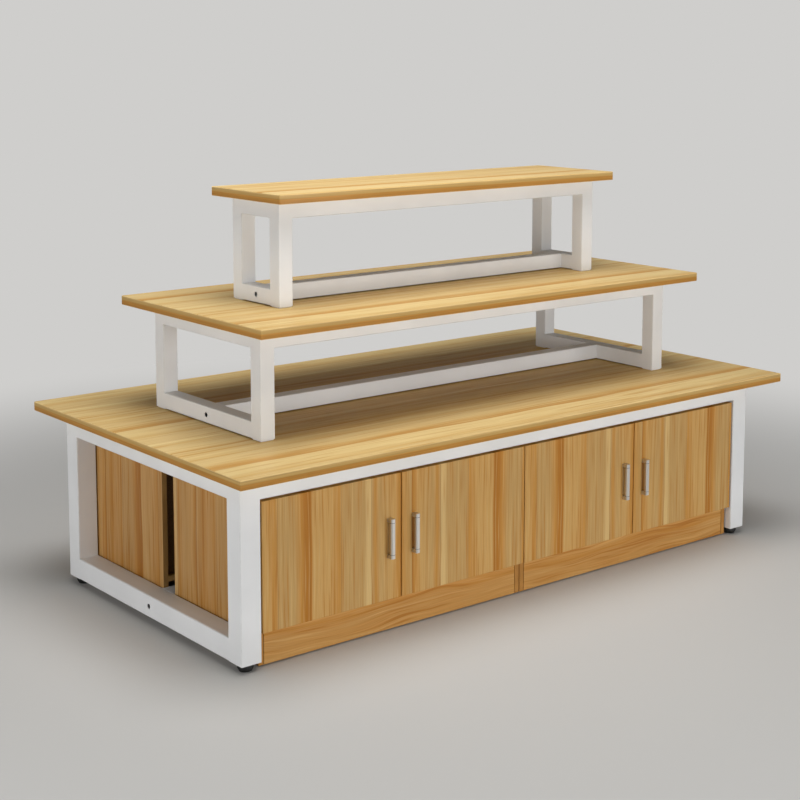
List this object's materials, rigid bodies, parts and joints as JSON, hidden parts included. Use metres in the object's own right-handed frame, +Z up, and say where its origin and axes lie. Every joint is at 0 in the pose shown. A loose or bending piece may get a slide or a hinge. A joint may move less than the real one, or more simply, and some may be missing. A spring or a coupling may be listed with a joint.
{
  "type": "display table with cupboards",
  "caption": "Tiered island display table: square-tube base frame with back-to-back hinged-door cupboards under the top, and lift-off tube-framed risers stacked on it.",
  "frame": {"origin": "on the floor under the centre of the table", "axes": "+X along the table, +Y from the front to the rear, +Z up"},
  "size_m": [2, 1.085, 1.148],
  "materials": {
    "white_powder_coat": "satin",
    "wood_grain_laminate": "satin",
    "back_hardboard": "matte",
    "brushed_steel": "brushed",
    "nickel_plated_steel": "plated",
    "black_steel": "black oxide",
    "black_plastic": "moulded",
    "white_plastic": "moulded",
    "clear_rubber": "moulded"
  },
  "bodies": {
    "base": {"base_frame_left": "white_powder_coat", "base_frame_right": "white_powder_coat", "base_rail_front": "white_powder_coat", "base_rail_rear": "white_powder_coat", "base_stretcher": "white_powder_coat", "base_stretcher_bolts": "black_steel", "base_top_board": "wood_grain_laminate", "leg_plugs": "black_plastic", "cabinet_side_panels": "wood_grain_laminate", "cabinet_floor_boards": "wood_grain_laminate", "cabinet_top_boards": "wood_grain_laminate", "cabinet_kick_boards": "wood_grain_laminate", "cabinet_back_panels": "back_hardboard", "cabinet_glides": "black_plastic", "hinge_arms": "nickel_plated_steel", "door_bumpers": "clear_rubber"},
    "middle_riser": {"middle_frame_left": "white_powder_coat", "middle_frame_right": "white_powder_coat", "middle_rail_front": "white_powder_coat", "middle_rail_rear": "white_powder_coat", "middle_stretcher": "white_powder_coat", "middle_stretcher_bolts": "black_steel", "middle_top_board": "wood_grain_laminate", "middle_glides": "white_plastic"},
    "top_riser": {"top_frame_left": "white_powder_coat", "top_frame_right": "white_powder_coat", "top_rail_front": "white_powder_coat", "top_rail_rear": "white_powder_coat", "top_stretcher": "white_powder_coat", "top_stretcher_bolts": "black_steel", "top_top_board": "wood_grain_laminate", "top_glides": "white_plastic"},
    "front_door_1": {"door_front_1": "wood_grain_laminate", "handle_front_1": "brushed_steel", "hinge_cups_front_1": "nickel_plated_steel"},
    "front_door_2": {"door_front_2": "wood_grain_laminate", "handle_front_2": "brushed_steel", "hinge_cups_front_2": "nickel_plated_steel"},
    "front_door_3": {"door_front_3": "wood_grain_laminate", "handle_front_3": "brushed_steel", "hinge_cups_front_3": "nickel_plated_steel"},
    "front_door_4": {"door_front_4": "wood_grain_laminate", "handle_front_4": "brushed_steel", "hinge_cups_front_4": "nickel_plated_steel"},
    "rear_door_1": {"door_rear_1": "wood_grain_laminate", "handle_rear_1": "brushed_steel", "hinge_cups_rear_1": "nickel_plated_steel"},
    "rear_door_2": {"door_rear_2": "wood_grain_laminate", "handle_rear_2": "brushed_steel", "hinge_cups_rear_2": "nickel_plated_steel"},
    "rear_door_3": {"door_rear_3": "wood_grain_laminate", "handle_rear_3": "brushed_steel", "hinge_cups_rear_3": "nickel_plated_steel"},
    "rear_door_4": {"door_rear_4": "wood_grain_laminate", "handle_rear_4": "brushed_steel", "hinge_cups_rear_4": "nickel_plated_steel"},
    "foot_front_left": {"levelling_foot_front_left": "black_plastic"},
    "foot_rear_left": {"levelling_foot_rear_left": "black_plastic"},
    "foot_front_right": {"levelling_foot_front_right": "black_plastic"},
    "foot_rear_right": {"levelling_foot_rear_right": "black_plastic"}
  },
  "joints": [
    {"name": "front_door_1_hinge", "type": "hinge", "parent": "base", "child": "front_door_1", "pos_m": [-0.88, -0.45, 0.093], "axis": [0, 0, -1], "range_deg": [0, 105]},
    {"name": "front_door_2_hinge", "type": "hinge", "parent": "base", "child": "front_door_2", "pos_m": [-0.0015, -0.45, 0.093], "axis": [0, 0, 1], "range_deg": [0, 85]},
    {"name": "front_door_3_hinge", "type": "hinge", "parent": "base", "child": "front_door_3", "pos_m": [0.0015, -0.45, 0.093], "axis": [0, 0, -1], "range_deg": [0, 85]},
    {"name": "front_door_4_hinge", "type": "hinge", "parent": "base", "child": "front_door_4", "pos_m": [0.88, -0.45, 0.093], "axis": [0, 0, 1], "range_deg": [0, 105]},
    {"name": "rear_door_1_hinge", "type": "hinge", "parent": "base", "child": "rear_door_1", "pos_m": [0.88, 0.45, 0.093], "axis": [0, 0, -1], "range_deg": [0, 105]},
    {"name": "rear_door_2_hinge", "type": "hinge", "parent": "base", "child": "rear_door_2", "pos_m": [0.0015, 0.45, 0.093], "axis": [0, 0, 1], "range_deg": [0, 85]},
    {"name": "rear_door_3_hinge", "type": "hinge", "parent": "base", "child": "rear_door_3", "pos_m": [-0.0015, 0.45, 0.093], "axis": [0, 0, -1], "range_deg": [0, 85]},
    {"name": "rear_door_4_hinge", "type": "hinge", "parent": "base", "child": "rear_door_4", "pos_m": [-0.88, 0.45, 0.093], "axis": [0, 0, 1], "range_deg": [0, 105]},
    {"name": "foot_front_left_screw", "type": "slide", "parent": "base", "child": "foot_front_left", "axis": [0, 0, -1], "range_m": [0, 0.01]},
    {"name": "foot_rear_left_screw", "type": "slide", "parent": "base", "child": "foot_rear_left", "axis": [0, 0, -1], "range_m": [0, 0.01]},
    {"name": "foot_front_right_screw", "type": "slide", "parent": "base", "child": "foot_front_right", "axis": [0, 0, -1], "range_m": [0, 0.01]},
    {"name": "foot_rear_right_screw", "type": "slide", "parent": "base", "child": "foot_rear_right", "axis": [0, 0, -1], "range_m": [0, 0.01]},
    {"name": "middle_riser_lift", "type": "slide", "parent": "base", "child": "middle_riser", "axis": [0, 0, 1], "range_m": [0, 0.15]},
    {"name": "top_riser_lift", "type": "slide", "parent": "middle_riser", "child": "top_riser", "axis": [0, 0, 1], "range_m": [0, 0.15]}
  ]
}
